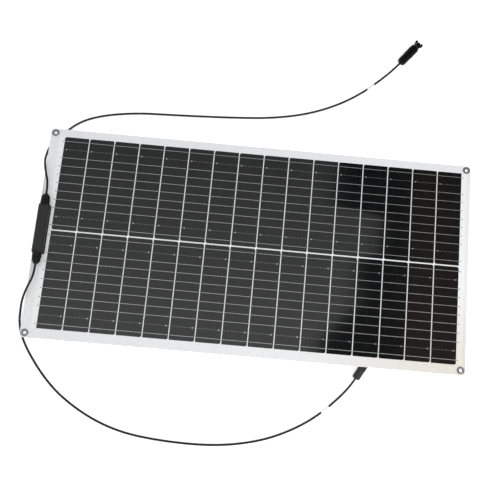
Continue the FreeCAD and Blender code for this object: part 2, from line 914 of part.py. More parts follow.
def plug():
    """The plug: a housing with a tapered shoulder and bored nose, its contact and two sprung latch arms."""
    outer, shoulder, nose = "dims.plug_radius", "dims.plug_shoulder", "dims.plug_nose_radius"
    connector_back("plug", LEAD_A_ROUTE, outer)
    origin, heading = route_end(LEAD_A_ROUTE)
    front = [
        ("dims.plug_taper_start", outer),
        (shoulder, "dims.plug_neck_radius"),
        (shoulder, nose),
        (f"{TIP} - 1", nose),
        (f"{TIP} - 1", "dims.contact_bore_radius"),
    ]
    housing = turned("plug_housing", housing_profile(outer, front))
    node(along(housing, origin, heading), "plug_housing")
    contact = turned(
        "plug_contact",
        [
            ("dims.contact_start", "0"),
            ("dims.contact_start", "dims.contact_radius"),
            (f"{TIP} - 3", "dims.contact_radius"),
            (f"{TIP} - 3", "0"),
        ],
    )
    node(along(contact, origin, heading), "plug_contact")
    root = f"({shoulder} + 0.3)"
    inner, arm_outer, wide = "dims.latch_inner", "dims.latch_outer", "dims.latch_tip"
    for side, sign in (("left", ""), ("right", "0 - ")):
        arm = padded(
            f"latch_{side}",
            "XY_Plane",
            [
                (root, f"{sign}{inner}"),
                (root, f"{sign}{arm_outer}"),
                (f"{root} + dims.latch_flare", f"{sign}{arm_outer}"),
                (f"{root} + 2 * dims.latch_flare", f"{sign}{wide}"),
                (f"{TIP} - 0.8", f"{sign}{wide}"),
                (TIP, f"{sign}({wide} - 0.7)"),
                (TIP, f"{sign}{inner}"),
            ],
            "dims.latch_height",
        )
        low = FreeCAD.Vector(0, 0, -size("latch_height") / 2)
        node(along(arm, origin + low, heading), f"plug_latch_{side}")


def socket():
    """The socket: a flat-sided housing with a window for each latch and a wide bore around its pin."""
    outer, mouth = "dims.socket_radius", "dims.socket_mouth_radius"
    connector_back("socket", LEAD_B_ROUTE, outer)
    origin, heading = route_end(LEAD_B_ROUTE)
    mouth_floor = f"{TIP} - dims.socket_mouth_depth"
    front = [
        (f"{TIP} - 1", outer),
        (TIP, f"{outer} - 0.8"),
        (TIP, mouth),
        (mouth_floor, mouth),
        (mouth_floor, "dims.contact_bore_radius"),
    ]
    turned_part = turned("socket_turned", housing_profile(outer, front))
    tools = []
    for k, sign in enumerate((1, -1)):
        flat = ("dims.socket_flat", f"{outer} + 1")
        tools.append(
            block(
                f"socket_flat_{k}",
                (HOUSING_START, f"{TIP} + 1"),
                (f"0 - {outer} - 1", f"{outer} + 1"),
                flat if sign > 0 else (f"0 - ({flat[1]})", f"0 - {flat[0]}"),
            )
        )
        window = ("dims.window_floor", f"{outer} + 1")
        tools.append(
            block(
                f"socket_window_{k}",
                (f"{TIP} - dims.window_start", f"{TIP} - dims.window_end"),
                window if sign > 0 else (f"0 - ({window[1]})", f"0 - {window[0]}"),
                ("0 - dims.window_half", "dims.window_half"),
            )
        )
    housing = cut("socket_housing", turned_part, tools)
    node(along(housing, origin, heading), "socket_housing")
    contact = turned(
        "socket_contact",
        [
            ("dims.contact_start", "0"),
            ("dims.contact_start", "dims.contact_radius"),
            (f"{TIP} - 5", "dims.contact_radius"),
            (f"{TIP} - 4", "dims.contact_radius / 2"),
            (f"{TIP} - 4", "0"),
        ],
    )
    node(along(contact, origin, heading), "socket_contact")


# ---------------------------------------------------------------- leads

ARC_SHARE = 0.45


def rounded_path(route):
    """Straight runs joined by tangent arcs as large as the runs allow. Gives the wire and the radii."""
    points = [FreeCAD.Vector(*point) for point in route]
    edges, radii = [], []
    start = points[0]
    for before, corner, after in zip(points, points[1:], points[2:]):
        back, ahead = before - corner, after - corner
        setback = ARC_SHARE * min(back.Length, ahead.Length)
        half_turn = (math.pi - back.getAngle(ahead)) / 2
        radius = setback / math.tan(half_turn)
        back.normalize()
        ahead.normalize()
        arc_start, arc_end = corner + back * setback, corner + ahead * setback
        inward = (back + ahead).normalize()
        middle = corner + inward * (radius / math.cos(half_turn) - radius)
        edges.append(Part.LineSegment(start, arc_start).toShape())
        edges.append(Part.Arc(arc_start, middle, arc_end).toShape())
        radii.append(radius)
        start = arc_end
    edges.append(Part.LineSegment(start, points[-1]).toShape())
    return Part.Wire(edges), radii


def lead(letter, route):
    """A lead's free length, swept along its route."""
    wire, radii = rounded_path(route)
    path = doc.addObject("Part::Feature", f"path_{letter}")
    path.Shape = wire
    section = doc.addObject("Part::Circle", f"section_{letter}")
    bind(section, Radius="dims.lead_radius")
    first = FreeCAD.Vector(*route[1]) - FreeCAD.Vector(*route[0])
    section.Placement = FreeCAD.Placement(
        FreeCAD.Vector(*route[0]), FreeCAD.Rotation(FreeCAD.Vector(0, 0, 1), first)
    )
    tube = doc.addObject("Part::Sweep", f"lead_{letter}")
    tube.Sections = [section]
    tube.Spine = (path, [f"Edge{k + 1}" for k in range(len(wire.Edges))])
    tube.Solid = True
    tube.Frenet = False
    doc.recompute()
    expected = math.pi * size("lead_radius") ** 2 * wire.Length
    ratio = tube.Shape.Volume / expected
    smallest = " ".join(f"{radius:.0f}" for radius in radii)
    print(f"lead_{letter}: length {wire.Length:.1f} mm, volume ratio {ratio:.4f}, radii {smallest}")
    if abs(ratio - 1) > 0.01:
        raise SystemExit(f"lead_{letter} isn't swept whole")
    node(tube, f"lead_{letter}")


def marker(letter, route, run):
    """A shrunk white sleeve round the middle of one run of a lead."""
    start, end = (FreeCAD.Vector(*point) for point in route[run : run + 2])
    half = "dims.marker_length / 2"
    sleeve = turned(
        f"lead_marker_{letter}",
        [
            (f"0 - {half}", "dims.lead_radius"),
            (f"0 - {half}", "dims.marker_radius"),
            (half, "dims.marker_radius"),
            (half, "dims.lead_radius"),
        ],
    )
    heading = math.degrees(math.atan2(end.y - start.y, end.x - start.x))
    node(along(sleeve, (start + end) * 0.5, heading), f"lead_marker_{letter}")


laminate()
eyelet_pair("left", "-1")
eyelet_pair("right", "1")
junction_box()
gland("a", 1)
gland("b", -1)
lead("a", LEAD_A_ROUTE)
lead("b", LEAD_B_ROUTE)
marker("a", LEAD_A_ROUTE, MARKER_RUN_A)
marker("b", LEAD_B_ROUTE, MARKER_RUN_B)
plug()
socket()
doc.recompute()

for item in doc.Objects:
    if "Invalid" in item.State or "Error" in item.State:
        raise SystemExit(f"{item.Name} failed: {item.State}")
for item in NODES:
    if item.Shape.isNull() or not item.Shape.isValid():
        raise SystemExit(f"{item.Label} has no valid shape")

os.makedirs("parts", exist_ok=True)
for item in NODES:
    item.Shape.exportStep(f"parts/{item.Label}.step")
print(len(NODES), "parts written")
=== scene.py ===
"""Looks of the flexible solar sheet, in metres except where a comment says mm."""
import json
import math
from collections import namedtuple

import bmesh
import bpy
from mathutils import Matrix, Vector


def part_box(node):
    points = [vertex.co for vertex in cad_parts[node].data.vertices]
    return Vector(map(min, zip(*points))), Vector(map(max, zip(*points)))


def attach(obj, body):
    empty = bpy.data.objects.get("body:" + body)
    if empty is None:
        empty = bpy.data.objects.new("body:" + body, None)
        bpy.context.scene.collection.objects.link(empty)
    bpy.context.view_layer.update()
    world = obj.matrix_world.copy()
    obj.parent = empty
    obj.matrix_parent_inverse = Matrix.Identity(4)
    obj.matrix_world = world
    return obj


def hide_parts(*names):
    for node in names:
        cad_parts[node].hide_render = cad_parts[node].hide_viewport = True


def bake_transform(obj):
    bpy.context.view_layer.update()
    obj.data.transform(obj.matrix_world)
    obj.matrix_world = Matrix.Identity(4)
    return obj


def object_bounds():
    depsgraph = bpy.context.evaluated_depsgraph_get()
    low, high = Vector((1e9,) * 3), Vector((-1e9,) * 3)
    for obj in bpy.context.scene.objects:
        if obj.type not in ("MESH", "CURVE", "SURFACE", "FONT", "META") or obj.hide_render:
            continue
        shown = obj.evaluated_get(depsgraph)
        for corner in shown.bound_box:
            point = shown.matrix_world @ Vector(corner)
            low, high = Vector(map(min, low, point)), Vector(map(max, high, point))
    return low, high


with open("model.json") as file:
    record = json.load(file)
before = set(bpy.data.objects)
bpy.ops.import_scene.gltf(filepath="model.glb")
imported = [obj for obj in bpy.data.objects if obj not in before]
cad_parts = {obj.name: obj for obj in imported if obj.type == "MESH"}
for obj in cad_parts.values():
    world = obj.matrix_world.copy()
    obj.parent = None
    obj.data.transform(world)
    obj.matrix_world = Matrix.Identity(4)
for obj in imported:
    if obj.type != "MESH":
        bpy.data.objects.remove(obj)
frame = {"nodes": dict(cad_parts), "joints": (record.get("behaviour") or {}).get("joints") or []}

CAD_BOX = [[float(x) for x in corner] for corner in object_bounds()]
NODES = frame["nodes"]

ROOT = "section_1"
MM = 0.001

# ---------------------------------------------------------------- camera and stage

CAMERA_PLACE = (0.014, -0.42, 1.584)
CAMERA_TURN = (math.radians(14.61), math.radians(-2.5), math.radians(4.66))
CAMERA_LENS = 63.4
CAMERA_SHIFT = (-0.0588, 0.0086)
SENSOR_WIDTH = 36.0
VIEW_DEPTH = 50.0


def make_camera():
    data = bpy.data.cameras.new("camera")
    data.lens = CAMERA_LENS
    data.sensor_width = SENSOR_WIDTH
    data.shift_x, data.shift_y = CAMERA_SHIFT
    data.clip_end = VIEW_DEPTH
    camera = bpy.data.objects.new("camera", data)
    camera.location = CAMERA_PLACE
    camera.rotation_euler = CAMERA_TURN
    bpy.context.scene.collection.objects.link(camera)
    bpy.context.scene.camera = camera


make_camera()

# ---------------------------------------------------------------- leads

LEAD_DIAMETER = 0.004
LEAD_SPAN_STEPS = 10
LEAD_QUARTER_STEPS = 6
# Each route starts in its gland and ends at its connector's rear.
LEAD_A_ROUTE = [
    (-0.389, 0.0665, 0.0232),
    (-0.389, 0.088, 0.0232),
    (-0.3966, 0.1095, 0.0234),
    (-0.4032, 0.1326, 0.0165),
    (-0.4045, 0.1505, 0.006),
    (-0.4016, 0.1684, 0.0024),
    (-0.3812, 0.1939, 0.0024),
    (-0.353, 0.2224, 0.0024),
    (-0.3107, 0.2401, 0.0024),
    (-0.247, 0.2514, 0.0024),
    (-0.1823, 0.254, 0.0024),
    (-0.1132, 0.2572, 0.0024),
    (-0.0454, 0.2615, 0.0024),
    (0.0125, 0.267, 0.0024),
    (0.0774, 0.281, 0.0024),
    (0.1347, 0.3049, 0.0024),
    (0.1813, 0.3347, 0.0024),
    (0.2193, 0.3687, 0.0024),
    (0.2447, 0.393, 0.0084),
    (0.2558, 0.4072, 0.0084),
]
LEAD_B_ROUTE = [
    (-0.389, -0.0665, 0.0232),
    (-0.389, -0.088, 0.0232),
    (-0.3975, -0.111, 0.0234),
    (-0.4048, -0.1335, 0.0165),
    (-0.407, -0.152, 0.006),
    (-0.4068, -0.172, 0.0024),
    (-0.398, -0.198, 0.0024),
    (-0.38, -0.2272, 0.0024),
    (-0.349, -0.2654, 0.0024),
    (-0.3136, -0.2976, 0.0024),
    (-0.2608, -0.329, 0.0024),
    (-0.2048, -0.3492, 0.0024),
    (-0.142, -0.3578, 0.0024),
    (-0.0683, -0.3604, 0.0024),
    (-0.0107, -0.3561, 0.0024),
    (0.0484, -0.3427, 0.0024),
    (0.097, -0.3213, 0.0024),
    (0.1363, -0.296, 0.0024),
    (0.170, -0.265, 0.0024),
    (0.1947, -0.2368, 0.0074),
    (0.2036, -0.2212, 0.0074),
]


def lead_curve(name, route):
    """A lead's smooth line: a NURBS spline with the route's points as its control points."""
    data = bpy.data.curves.new(name, "CURVE")
    data.dimensions = "3D"
    data.resolution_u = LEAD_SPAN_STEPS
    spline = data.splines.new("NURBS")
    spline.points.add(len(route) - 1)
    for point, place in zip(spline.points, route):
        point.co = (*place, 1.0)
    spline.order_u = 3
    spline.use_endpoint_u = True
    data.bevel_depth = LEAD_DIAMETER / 2
    data.bevel_resolution = LEAD_QUARTER_STEPS
    data.use_fill_caps = True
    curve = bpy.data.objects.new(name, data)
    bpy.context.scene.collection.objects.link(curve)
    return curve


def line_points(curve):
    """The points of a lead's own line, read from its spline with no bevel."""
    bare = curve.copy()
    bare.data = curve.data.copy()
    bare.data.bevel_depth = 0.0
    bare.data.use_fill_caps = False
    bpy.context.scene.collection.objects.link(bare)
    bpy.context.view_layer.update()
    shown = bare.evaluated_get(bpy.context.evaluated_depsgraph_get())
    mesh = bpy.data.meshes.new_from_object(shown)
    points = [v.co.copy() for v in mesh.vertices]
    bpy.data.meshes.remove(mesh)
    bpy.data.objects.remove(bare)
    return points


lead_a = lead_curve("lead_a_jacket", LEAD_A_ROUTE)
lead_b = lead_curve("lead_b_jacket", LEAD_B_ROUTE)

# ---------------------------------------------------------------- materials


class Graph:
    """A material and the node tree that makes its colour, roughness and relief."""

    def __init__(self, name):
        self.material = bpy.data.materials.new(name)
        self.material.use_nodes = True
        self.tree = self.material.node_tree
        self.shader = self.tree.nodes["Principled BSDF"]

    def node(self, kind, **settings):
        item = self.tree.nodes.new(kind)
        for key, value in settings.items():
            setattr(item, key, value)
        return item

    def feed(self, socket, value):
        """Links a socket to another one, or sets it to a constant."""
        if isinstance(value, bpy.types.NodeSocket):
            self.tree.links.new(value, socket)
        else:
            socket.default_value = value

    def place(self):
        """Where a point is in the row frame at rest, for a piece that keeps it or a CAD node."""
        return self.node("ShaderNodeTexCoord").outputs["Object"]

    def rest(self):
        """The rest position that a bending piece carries with it."""
        return self.node("ShaderNodeAttribute", attribute_name="rest").outputs["Vector"]

    def axis(self, vector, index):
        split = self.node("ShaderNodeSeparateXYZ")
        self.feed(split.inputs[0], vector)
        return split.outputs[index]

    def maths(self, operation, a, b=0.0):
        item = self.node("ShaderNodeMath", operation=operation)
        self.feed(item.inputs[0], a)
        self.feed(item.inputs[1], b)
        return item.outputs[0]

    def gap(self, a, b):
        """The distance between two values, whichever is larger."""
        return self.maths("ABSOLUTE", self.maths("SUBTRACT", a, b))

    def scaled(self, vector, factors):
        item = self.node("ShaderNodeVectorMath", operation="MULTIPLY")
        self.feed(item.inputs[0], vector)
        self.feed(item.inputs[1], factors)
        return item.outputs[0]

    def noise(self, vector, scale, detail=3.0, roughness=0.55):
        item = self.node("ShaderNodeTexNoise")
        self.feed(item.inputs["Vector"], vector)
        self.feed(item.inputs["Scale"], scale)
        self.feed(item.inputs["Detail"], detail)
        self.feed(item.inputs["Roughness"], roughness)
        return item.outputs["Fac"]

    def cells(self, vector, scale):
        item = self.node("ShaderNodeTexVoronoi")
        self.feed(item.inputs["Vector"], vector)
        self.feed(item.inputs["Scale"], scale)
        return item.outputs["Distance"]

    def ramp(self, factor, stops):
        """Colours between stops of (position, colour)."""
        item = self.node("ShaderNodeValToRGB")
        elements = item.color_ramp.elements
        while len(elements) < len(stops):
            elements.new(1.0)
        for element, (position, colour) in zip(elements, stops):
            element.position = position
            element.color = (*colour, 1.0)
        self.feed(item.inputs[0], factor)
        return item.outputs["Color"]

    def mix(self, factor, a, b):
        item = self.node("ShaderNodeMix", data_type="RGBA")
        self.feed(item.inputs[0], factor)
        for socket, colour in ((item.inputs[6], a), (item.inputs[7], b)):
            is_linked = isinstance(colour, bpy.types.NodeSocket)
            self.feed(socket, colour if is_linked else (*colour, 1.0))
        return item.outputs[2]

    def between(self, factor, low, high, start=0.0, end=1.0):
        """A factor's range from start to end, spread over the range from low to high."""
        item = self.node("ShaderNodeMapRange")
        self.feed(item.inputs[0], factor)
        for index, value in enumerate((start, end, low, high), 1):
            item.inputs[index].default_value = value
        return item.outputs[0]

    def stripe(self, coordinate, pitch, width, offset=0.0):
        """1 on stripes of a width that repeat along a coordinate, and 0 between them."""
        shifted = self.maths("SUBTRACT", coordinate, offset)
        wrapped = self.maths("PINGPONG", shifted, pitch / 2)
        return self.maths("LESS_THAN", wrapped, width / 2)

    def relief(self, height, distance, strength):
        item = self.node("ShaderNodeBump")
        self.feed(item.inputs["Height"], height)
        item.inputs["Distance"].default_value = distance
        item.inputs["Strength"].default_value = strength
        self.tree.links.new(item.outputs[0], self.shader.inputs["Normal"])

    def set(self, **values):
        """Sets the shader's sockets: an underscore in a name stands for a space."""
        for name, value in values.items():
            socket = self.shader.inputs[name.replace("_", " ")]
            if isinstance(value, tuple) and len(value) == 3:
                value = (*value, 1.0)
            self.feed(socket, value)


# The wafers' own layout, worked out from the CAD wafers.
COLUMNS = 16
COLUMN_GAP = 0.0018
ROW_GAP = 0.0026
FIELD_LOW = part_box("cells_1")[0]
FIELD_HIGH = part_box("cells_4")[1]
COLUMN_PITCH = (FIELD_HIGH.x - FIELD_LOW.x + COLUMN_GAP) / COLUMNS
WAFER_WIDTH = COLUMN_PITCH - COLUMN_GAP
WAFER_HEIGHT = (FIELD_HIGH.y - FIELD_LOW.y - ROW_GAP) / 2
ROW_LOWS = (FIELD_LOW.y, FIELD_LOW.y + WAFER_HEIGHT + ROW_GAP)
ROW_PITCH = WAFER_HEIGHT + ROW_GAP
LINE_PITCH = 0.0165
SOLDERED_LINES = (-5, -3, -2, -1, 0, 1, 2, 3, 5)
BARE_LINE = 4


def grey(level):
    return (level, level, level)


def sheet_white():
    """White back sheet under an embossed clear film, with a painted warm reflection towards one
    corner.
    """
    # The third colour is the beige tint of the painted warm reflection.
    cool, warm, reflected_warm = (0.885, 0.905, 0.915), (0.945, 0.950, 0.950), (0.820, 0.760, 0.685)
    dust_tint, dust_size, dust_share = (0.55, 0.56, 0.57), 0.10, 0.30
    g = Graph("back_sheet_white")
    at = g.rest()
    broad = g.noise(at, 9.0, 2.0)
    mottle = g.noise(at, 430.0, 3.0, 0.75)
    dust = g.cells(at, 260.0)
    base = g.mix(g.between(broad, -0.2, 1.2), cool, warm)
    # Painted warm reflection: a beige tint towards the sheet's lower right corner.
    base = g.mix(g.maths("MULTIPLY", warm_reflection_share(g, at), 0.85), base, reflected_warm)
    dull, bright = g.scaled(base, (0.80, 0.80, 0.81)), g.scaled(base, grey(1.03))
    spotted = g.mix(g.between(mottle, -0.9, 1.9), dull, bright)
    speck = g.maths("LESS_THAN", dust, dust_size)
    colour = g.mix(g.maths("MULTIPLY", speck, dust_share), spotted, dust_tint)
    g.set(Base_Color=colour, Roughness=g.between(mottle, 0.35, 0.55), Specular_IOR_Level=0.4)
    g.relief(mottle, 0.00010, 0.4)
    return g.material


def warm_reflection_share(g, at):
    """Where the painted warm reflection lies: 1 at the sheet's lower right corner, fading to 0
    over its right and lower edges.
    """
    right = g.between(g.axis(at, 0), 0.0, 1.0, 0.10, 0.36)
    low = g.between(g.axis(at, 1), 0.0, 1.0, -0.04, -0.17)
    return g.maths("MULTIPLY", right, low)


FINGER_PITCH, FINGER_WIDTH = 0.0013, 0.00012
BARE_LINE_WIDTH = 0.0004
PAD_WIDTH, PAD_LENGTH, FIRST_PAD = 0.0012, 0.0014, 0.0038
END_PAD_WIDTH, END_PAD_LENGTH, END_PAD_INSET = 0.0020, 0.0022, 0.0055
JOINTS_PER_LINE = 6
SOLDER_LENGTH = 0.0022
SILVER = (0.34, 0.35, 0.36)


def wafer_silicon():
    """Blue-black coated silicon with fine silver fingers, a bare busbar and its solder pads."""
    g = Graph("wafer_silicon")
    at = g.rest()
    x, y = g.axis(at, 0), g.axis(at, 1)
    in_column = g.maths("MODULO", g.maths("SUBTRACT", x, FIELD_LOW.x), COLUMN_PITCH)
    in_row = g.maths("MODULO", g.maths("SUBTRACT", y, FIELD_LOW.y), ROW_PITCH)
    line_gap = g.gap(g.gap(in_row, WAFER_HEIGHT / 2), BARE_LINE * LINE_PITCH)
    upper = g.maths("GREATER_THAN", y, ROW_LOWS[1] - ROW_GAP / 2)
    mirrored = g.maths("SUBTRACT", WAFER_WIDTH, in_column)
    turned = g.maths("MULTIPLY", upper, g.maths("SUBTRACT", mirrored, in_column))
    along = g.maths("ADD", in_column, turned)

    fingers = g.stripe(in_column, FINGER_PITCH, FINGER_WIDTH)
    bare = g.maths("LESS_THAN", line_gap, BARE_LINE_WIDTH / 2)
    pad_row = g.maths("LESS_THAN", line_gap, PAD_WIDTH / 2)
    pad_step = g.stripe(along, WAFER_WIDTH / JOINTS_PER_LINE, PAD_LENGTH, FIRST_PAD)
    pads = g.maths("MULTIPLY", pad_row, pad_step)
    end_gap = g.gap(along, WAFER_WIDTH - END_PAD_INSET)
    end_row = g.maths("LESS_THAN", line_gap, END_PAD_WIDTH / 2)
    end_pad = g.maths("MULTIPLY", end_row, g.maths("LESS_THAN", end_gap, END_PAD_LENGTH / 2))

    tone = g.noise(at, 6.0, 2.0)
    stain = g.noise(g.scaled(at, (1.0, 0.25, 1.0)), 60.0, 3.0)
    grain = g.noise(g.scaled(at, (0.7, 1.2, 1.0)), 420.0, 3.0, 0.75)
    emboss = g.noise(at, 700.0, 2.0)
    coat = g.mix(g.between(tone, 0.0, 1.0), (0.0007, 0.0009, 0.0014), (0.0016, 0.0018, 0.0024))
    coat = g.mix(g.between(stain, -0.2, 0.6), coat, (0.0020, 0.0019, 0.0020))
    coat = g.mix(g.between(grain, -1.1, 2.1), coat, (0.0060, 0.0062, 0.0066))
    colour = g.mix(g.maths("MULTIPLY", fingers, 0.045), coat, SILVER)
    colour = g.mix(g.maths("MULTIPLY", bare, 0.35), colour, SILVER)
    colour = g.mix(g.maths("MULTIPLY", pads, 0.6), colour, SILVER)
    colour = g.mix(end_pad, colour, (0.50, 0.51, 0.52))
    metal = g.maths("MULTIPLY", g.maths("MAXIMUM", pads, end_pad), 0.4)
    g.set(Base_Color=colour, Roughness=g.between(stain, 0.020, 0.045))
    g.set(Metallic=metal, Specular_IOR_Level=0.55)
    height = g.maths("ADD", g.maths("MULTIPLY", emboss, 0.6), g.maths("MULTIPLY", fingers, 0.4))
    g.relief(height, 0.00004, 0.10)
    return g.material


def ribbon_metal():
    """Tinned copper ribbon: dull silver with brighter solder dots where it is joined."""
    g = Graph("ribbon_tinned")
    at = g.rest()
    wear = g.noise(g.scaled(at, (1.0, 3.0, 1.0)), 180.0, 3.0)
    streak = g.noise(g.scaled(at, (0.15, 6.0, 1.0)), 900.0, 2.0)
    solder = g.stripe(g.axis(at, 0), WAFER_WIDTH / JOINTS_PER_LINE, SOLDER_LENGTH)
    base = g.mix(wear, (0.30, 0.31, 0.32), (0.52, 0.53, 0.54))
    colour = g.mix(g.maths("MULTIPLY", solder, 0.5), base, (0.66, 0.67, 0.68))
    g.set(Base_Color=colour, Metallic=0.75, Roughness=g.between(wear, 0.32, 0.5))
    g.relief(streak, 0.00003, 0.5)
    return g.material


def clear_film():
    """Clear embossed film and encapsulant over the wafers. It only veils what is under it."""
    g = Graph("film_clear")
    g.set(Base_Color=(0.02, 0.022, 0.024), Roughness=0.22, Specular_IOR_Level=0.6, Alpha=0.03)
    g.relief(g.cells(g.rest(), 650.0), 0.00006, 0.4)
    return g.material


def moulded(name, dark, light, roughness, gloss, grain=2600.0):
    """Moulded black plastic with a fine grain, faint flow marks and paler handled patches."""
    g = Graph(name)
    at = g.place()
    flow = g.noise(g.scaled(at, (1.0, 0.3, 1.0)), 90.0, 3.0)
    fine = g.noise(at, grain, 3.0, 0.7)
    handled = g.ramp(g.noise(at, 160.0, 4.0, 0.6), [(0.55, grey(0.0)), (0.80, grey(0.5))])
    base = g.mix(flow, (dark, dark, dark * 1.05), (light, light, light * 1.05))
    colour = g.mix(handled, base, grey(light * 2.2))
    g.set(Base_Color=colour, Roughness=g.between(fine, roughness - 0.08, roughness + 0.12))
    g.set(Specular_IOR_Level=gloss)
    g.relief(fine, 0.00004, 0.7)
    return g.material


def rubber(name, tone, roughness):
    """Matt rubber with a fine bloom."""
    g = Graph(name)
    at = g.place()
    bloom = g.noise(at, 240.0, 4.0, 0.65)
    colour = g.mix(bloom, grey(tone), (tone * 2.2, tone * 2.2, tone * 2.3))
    g.set(Base_Color=colour, Roughness=g.between(bloom, roughness - 0.1, roughness + 0.1))
    g.relief(g.noise(at, 3000.0, 2.0), 0.00003, 0.6)
    return g.material


def plated(name, dark, light, roughness):
    """Plated metal with turning marks, dulled patches and small scratches."""
    g = Graph(name)
    at = g.place()
    dull = g.noise(at, 320.0, 4.0, 0.6)
    scratch = g.noise(g.scaled(at, (1.0, 14.0, 1.0)), 900.0, 2.0)
    g.set(Base_Color=g.mix(dull, dark, light), Metallic=1.0)
    g.set(Roughness=g.between(dull, roughness - 0.1, roughness + 0.2))
    g.relief(scratch, 0.00003, 0.5)
    return g.material


def sleeve_white():
    """Thin white sleeve shrunk onto a lead, a little grubby in patches along it."""
    g = Graph("sleeve_white")
    at = g.place()
    grime = g.noise(at, 500.0, 4.0, 0.6)
    colour = g.mix(g.between(grime, -0.3, 0.9), (0.82, 0.82, 0.81), (0.62, 0.62, 0.60))
    g.set(Base_Color=colour, Roughness=g.between(grime, 0.30, 0.5))
    g.relief(g.noise(at, 1400.0, 2.0), 0.00005, 0.6)
    return g.material


def dull_tin():
    """The ribbons' ends, seen through the sheet's white layer."""
    g = Graph("ribbon_end_dull")
    at = g.rest()
    patch = g.noise(at, 400.0, 3.0)
    g.set(Base_Color=g.mix(patch, (0.045, 0.036, 0.030), (0.20, 0.15, 0.11)), Roughness=0.5)
    g.relief(g.noise(at, 1500.0, 2.0), 0.00002, 0.4)
    return g.material


MATERIALS = {
    "white": sheet_white(),
    "wafer": wafer_silicon(),
    "ribbon": ribbon_metal(),
    "tick": dull_tin(),
    "film": clear_film(),
    "box": moulded("box_plastic_grained", 0.012, 0.018, 0.46, 0.30),
    "gland": moulded("gland_plastic_satin", 0.003, 0.006, 0.40, 0.18),
    "plug": moulded("plug_plastic_satin", 0.0012, 0.0025, 0.36, 0.11),
    "socket": moulded("socket_plastic_satin", 0.014, 0.020, 0.44, 0.30),
    "jacket": moulded("lead_jacket_satin", 0.004, 0.008, 0.40, 0.25, 1800.0),
    "diode": moulded("diode_cast", 0.008, 0.014, 0.28, 0.5),
    "rubber": rubber("seal_rubber_black", 0.010, 0.65),
    "adhesive": rubber("adhesive_black", 0.014, 0.55),
    "eyelet": plated("eyelet_plated", (0.12, 0.12, 0.125), (0.34, 0.34, 0.345), 0.36),
    "contact": plated("contact_plated", (0.62, 0.58, 0.46), (0.80, 0.77, 0.66), 0.28),
    "sleeve": sleeve_white(),
}

# ---------------------------------------------------------------- mesh helpers

WELD = 1e-6


def add_piece(name, mesh, material, smooth=True):
    piece = bpy.data.objects.new(name, mesh)
    bpy.context.scene.collection.objects.link(piece)
    piece.data.materials.append(MATERIALS[material])
    for face in piece.data.polygons:
        face.use_smooth = smooth
    return piece


def keep_rest(mesh):
    """Stores each vertex's rest position, so a pattern stays on the piece when it bends."""
    attribute = mesh.attributes.new("rest", "FLOAT_VECTOR", "POINT")
    for item, vertex in zip(attribute.data, mesh.vertices):
        item.vector = vertex.co


def finish_mesh(work, name, placed=None):
    """A mesh made from work, its faces turned outwards, moved to its place if it has one."""
    bmesh.ops.recalc_face_normals(work, faces=work.faces)
    if placed is not None:
        work.transform(placed)
    mesh = bpy.data.meshes.new(name)
    work.to_mesh(mesh)
    work.free()
    return mesh


def circle(sides):
    """The angles of a ring's corners."""
    return [2 * math.pi * k / sides for k in range(sides)]


def bridge(work, near, far):
    """Faces between two rings with the same number of corners."""
    for k in range(len(near)):
        n = (k + 1) % len(near)
        work.faces.new((near[k], near[n], far[n], far[k]))


def loft(work, rings):
    """Joins a closed loop of rings into a skin."""
    for near, far in zip(rings, rings[1:] + rings[:1]):
        bridge(work, near, far)


def slice_along_x(mesh, step):
    """Cuts a mesh at regular places along X, so that it can bend."""
    work = bmesh.new()
    work.from_mesh(mesh)
    low = min(v.co.x for v in work.verts)
    high = max(v.co.x for v in work.verts)
    count = int((high - low) / step)
    for k in range(1, count + 1):
        place = low + (high - low) * k / (count + 1)
        parts = work.verts[:] + work.edges[:] + work.faces[:]
        bmesh.ops.bisect_plane(work, geom=parts, plane_co=(place, 0, 0), plane_no=(1, 0, 0))
    work.to_mesh(mesh)
    work.free()


def arc(centre, radius, start, end, steps):
    """Points on an arc in the plane, from one angle in degrees to another."""
    points = []
    for k in range(steps + 1):
        angle = math.radians(start + (end - start) * k / steps)
        points.append((centre[0] + radius * math.cos(angle), centre[1] + radius * math.sin(angle)))
    return points


def plate(outline, holes, low, high):
    """A flat mesh between two heights, with holes."""
    data = bpy.data.curves.new("plate_outline", "CURVE")
    data.dimensions = "2D"
    data.fill_mode = "BOTH"
    data.extrude = (high - low) / 2
    for loop in [outline, *holes]:
        spline = data.splines.new("POLY")
        spline.points.add(len(loop) - 1)
        for point, (x, y) in zip(spline.points, loop):
            point.co = (x, y, 0.0, 1.0)
        spline.use_cyclic_u = True
    holder = bpy.data.objects.new("plate_outline", data)
    bpy.context.scene.collection.objects.link(holder)
    bpy.context.view_layer.update()
    shown = holder.evaluated_get(bpy.context.evaluated_depsgraph_get())
    mesh = bpy.data.meshes.new_from_object(shown)
    bpy.data.objects.remove(holder)
    mesh.transform(Matrix.Translation((0, 0, (low + high) / 2)))
    work = bmesh.new()
    work.from_mesh(mesh)
    bmesh.ops.remove_doubles(work, verts=work.verts, dist=WELD)
    bmesh.ops.recalc_face_normals(work, faces=work.faces)
    work.to_mesh(mesh)
    work.free()
    return mesh


# ---------------------------------------------------------------- laminate

SHEET_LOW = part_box("back_sheet_1")[0]
SHEET_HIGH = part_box("back_sheet_4")[1]
FILM_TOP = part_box("front_film_1")[1].z
WAFER_LOW, WAFER_TOP = FIELD_LOW.z, FIELD_HIGH.z
WHITE_TOP = WAFER_LOW - 0.00004
FILM_GAP = 0.00002
CORNER_RADIUS = 0.006
HOLE_RADIUS = 0.0036
EYELET_INSET = 0.0085
BEND_STEP = 0.009
CORNER_STEPS = 8
HOLE_SIDES = 24

HINGES = [j["pos_m"][0] for k in (1, 2, 3) for j in frame["joints"] if j["name"] == f"flex_{k}"]
SEAMS = [(HINGES[0] + HINGES[1]) / 2, (HINGES[1] + HINGES[2]) / 2]
